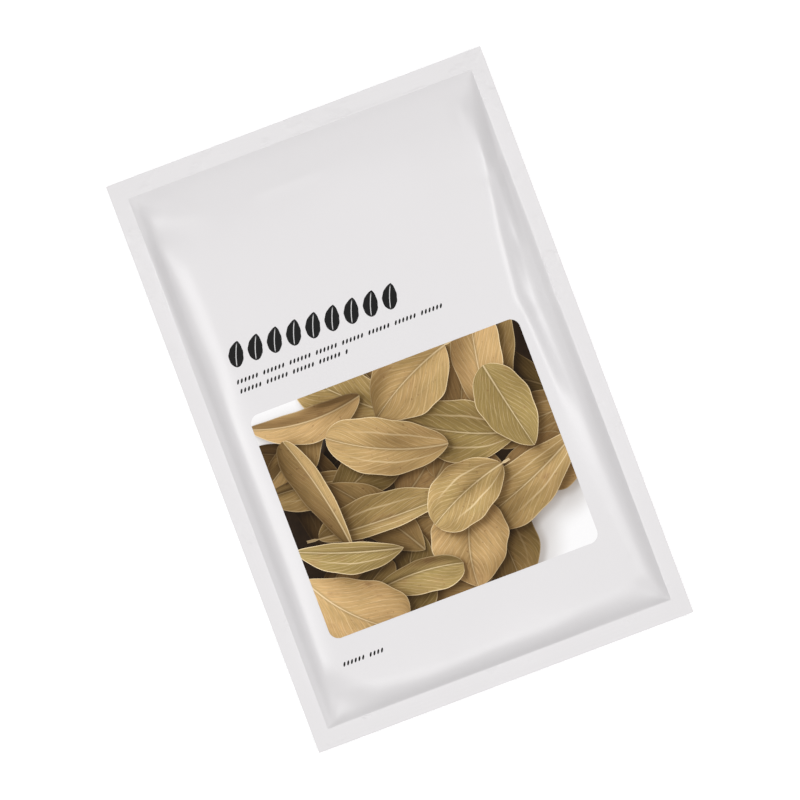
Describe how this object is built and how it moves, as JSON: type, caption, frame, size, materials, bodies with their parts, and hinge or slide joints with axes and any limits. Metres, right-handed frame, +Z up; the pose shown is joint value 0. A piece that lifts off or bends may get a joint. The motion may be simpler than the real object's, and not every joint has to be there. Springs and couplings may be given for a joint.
{
  "type": "heat-sealed pouch of dried leaves",
  "caption": "Flat film pouch, heat-sealed along all four edges and gently swollen over the dried leaves that it holds.",
  "frame": {"origin": "under the middle of the pouch's rectangle, on the surface that its back lies on", "axes": "+X across the width, to the right as the printed face is seen upright; +Y to the top edge; +Z up, out of the printed face"},
  "size_m": [0.12, 0.1816, 0.0091],
  "materials": {
    "film": "opaque pale grey film with a soft satin gloss",
    "leaf": "dry brown leaf, matt, with a raised midrib and side veins"
  },
  "bodies": {
    "root": {"front_film": "film", "back_film": "film", "dried_leaf_1": "leaf", "dried_leaf_2": "leaf", "dried_leaf_3": "leaf", "dried_leaf_4": "leaf", "dried_leaf_5": "leaf", "dried_leaf_6": "leaf"}
  },
  "joints": []
}
